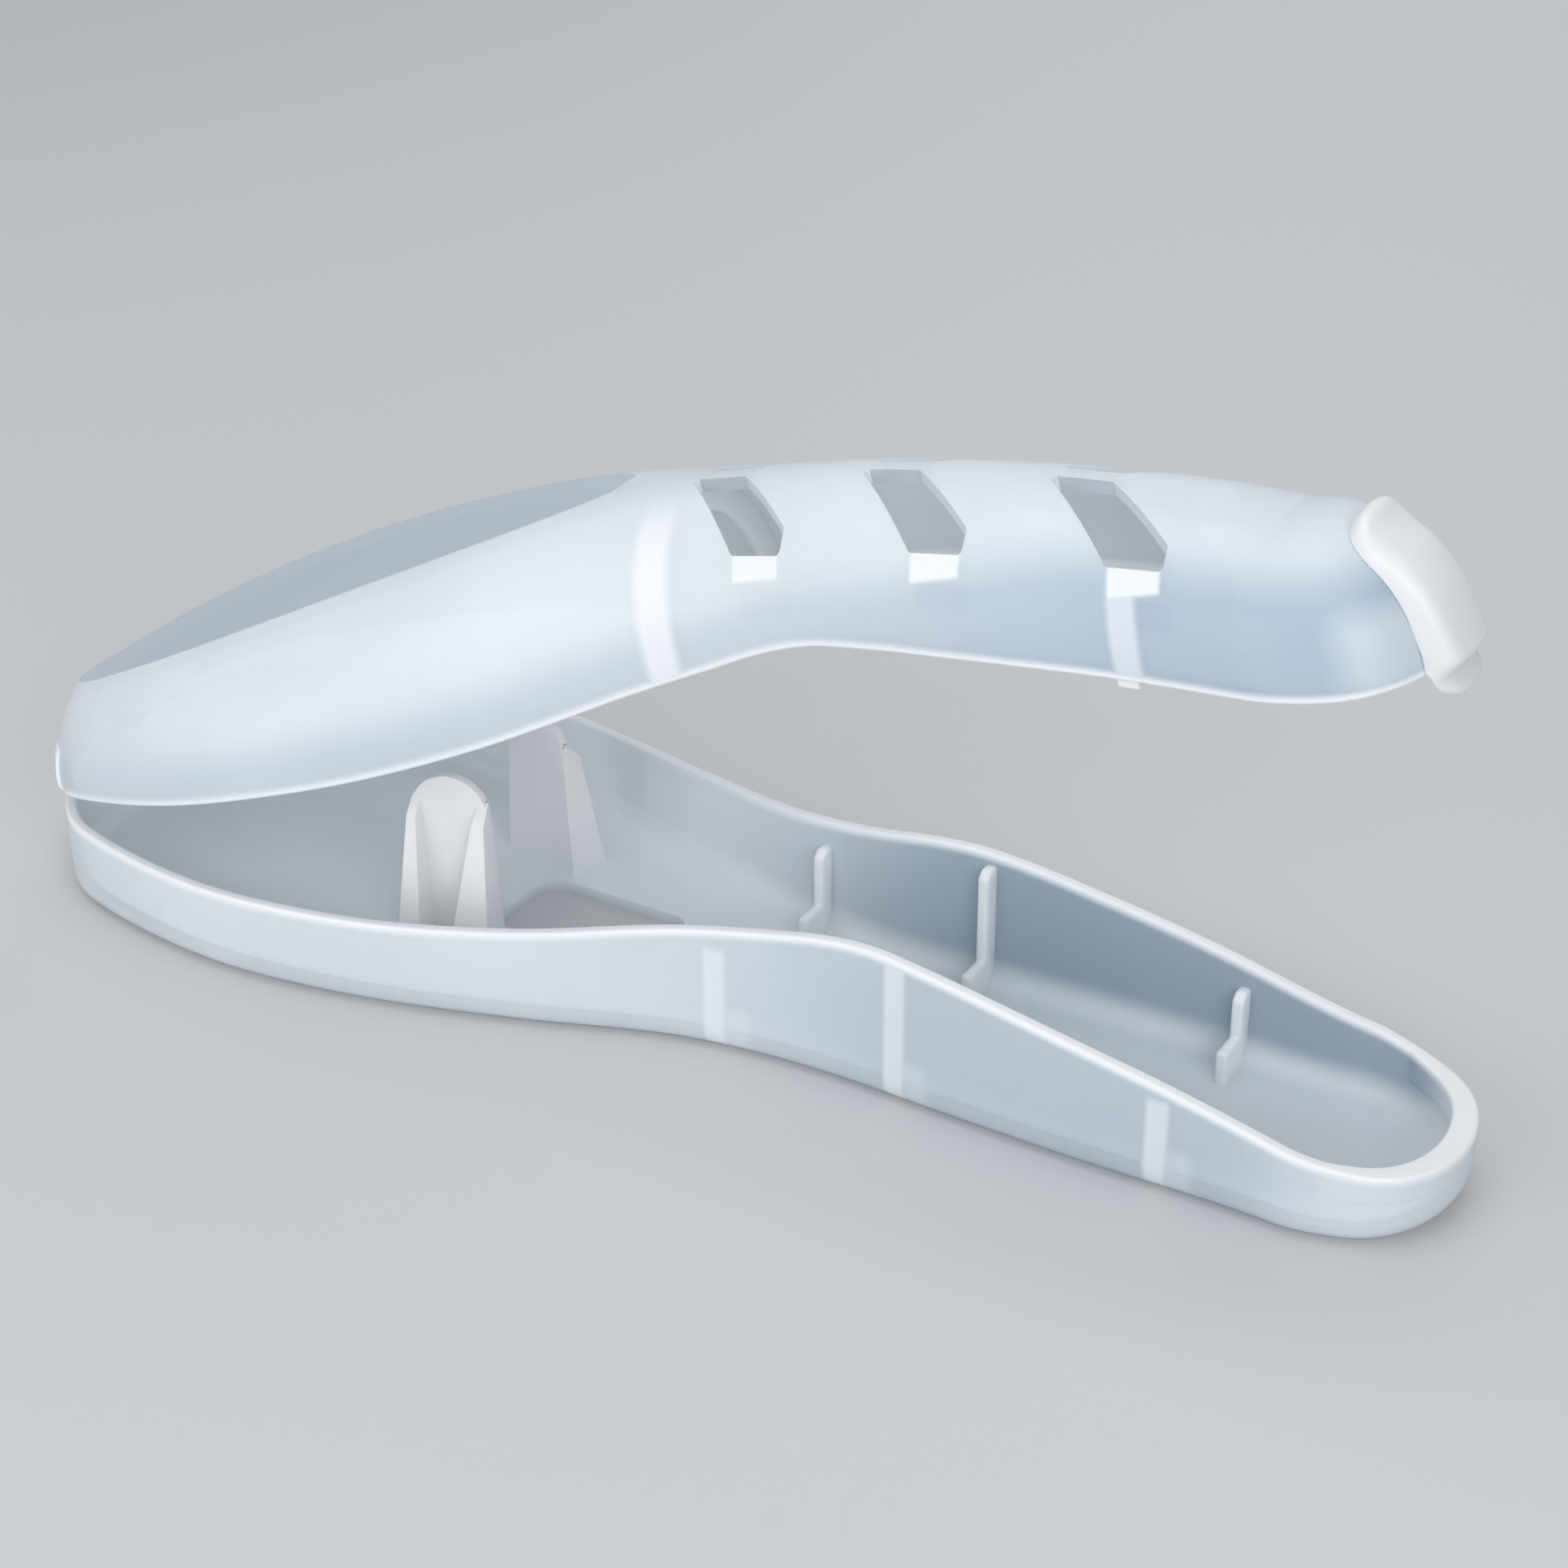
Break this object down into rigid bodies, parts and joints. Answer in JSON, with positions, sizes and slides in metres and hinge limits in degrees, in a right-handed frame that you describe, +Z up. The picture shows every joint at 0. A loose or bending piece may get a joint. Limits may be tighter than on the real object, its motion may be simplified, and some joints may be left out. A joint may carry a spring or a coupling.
{
  "type": "razor case",
  "caption": "Frosted plastic travel case: spoon-shaped tray with cradle ribs and retaining posts, a vented domed lid on a film hinge, and a snap tongue at the tail.",
  "frame": {"origin": "middle of the tray's flat foot, halfway along the case", "axes": "+X from the hinge end to the tail with the snap tongue, +Y across the case, +Z up from the surface the case stands on"},
  "size_m": [0.1862, 0.0616, 0.0798],
  "materials": {
    "base_tray": "frosted translucent polypropylene",
    "post_near": "frosted translucent polypropylene",
    "post_far": "frosted translucent polypropylene",
    "cradle_rib_1_near": "frosted translucent polypropylene",
    "cradle_rib_1_far": "frosted translucent polypropylene",
    "cradle_rib_2_near": "frosted translucent polypropylene",
    "cradle_rib_2_far": "frosted translucent polypropylene",
    "cradle_rib_3_near": "frosted translucent polypropylene",
    "cradle_rib_3_far": "frosted translucent polypropylene",
    "tail_catch": "thick white polypropylene",
    "hinge_film": "thin polypropylene film",
    "lid_shell": "frosted translucent polypropylene",
    "lid_arch": "frosted translucent polypropylene",
    "lid_tab_near": "frosted translucent polypropylene",
    "lid_tab_far": "frosted translucent polypropylene",
    "vent_sill_1_near": "frosted translucent polypropylene",
    "vent_sill_1_far": "frosted translucent polypropylene",
    "vent_sill_2_near": "frosted translucent polypropylene",
    "vent_sill_2_far": "frosted translucent polypropylene",
    "vent_sill_3_near": "frosted translucent polypropylene",
    "vent_sill_3_far": "frosted translucent polypropylene",
    "hinge_leaf": "frosted translucent polypropylene",
    "latch_root": "thick white polypropylene",
    "latch_tongue": "thick white polypropylene"
  },
  "bodies": {
    "tray": {"base_tray": "base_tray", "post_near": "post_near", "post_far": "post_far", "cradle_rib_1_near": "cradle_rib_1_near", "cradle_rib_1_far": "cradle_rib_1_far", "cradle_rib_2_near": "cradle_rib_2_near", "cradle_rib_2_far": "cradle_rib_2_far", "cradle_rib_3_near": "cradle_rib_3_near", "cradle_rib_3_far": "cradle_rib_3_far", "tail_catch": "tail_catch", "hinge_film": "hinge_film"},
    "lid": {"lid_shell": "lid_shell", "lid_arch": "lid_arch", "lid_tab_near": "lid_tab_near", "lid_tab_far": "lid_tab_far", "vent_sill_1_near": "vent_sill_1_near", "vent_sill_1_far": "vent_sill_1_far", "vent_sill_2_near": "vent_sill_2_near", "vent_sill_2_far": "vent_sill_2_far", "vent_sill_3_near": "vent_sill_3_near", "vent_sill_3_far": "vent_sill_3_far", "hinge_leaf": "hinge_leaf", "latch_root": "latch_root"},
    "tongue": {"latch_tongue": "latch_tongue"}
  },
  "joints": [
    {"name": "lid_hinge", "type": "hinge", "parent": "tray", "child": "lid", "pos_m": [-0.09315, 0, 0.0127], "axis": [0, -1, 0], "range_deg": [-17.75, 142]},
    {"name": "tongue_flex", "type": "hinge", "parent": "lid", "child": "tongue", "pos_m": [0.07792, 0, 0.07761], "axis": [0, -1, 0], "range_deg": [0, 8], "stiffness_Nm_per_rad": 0.2}
  ]
}
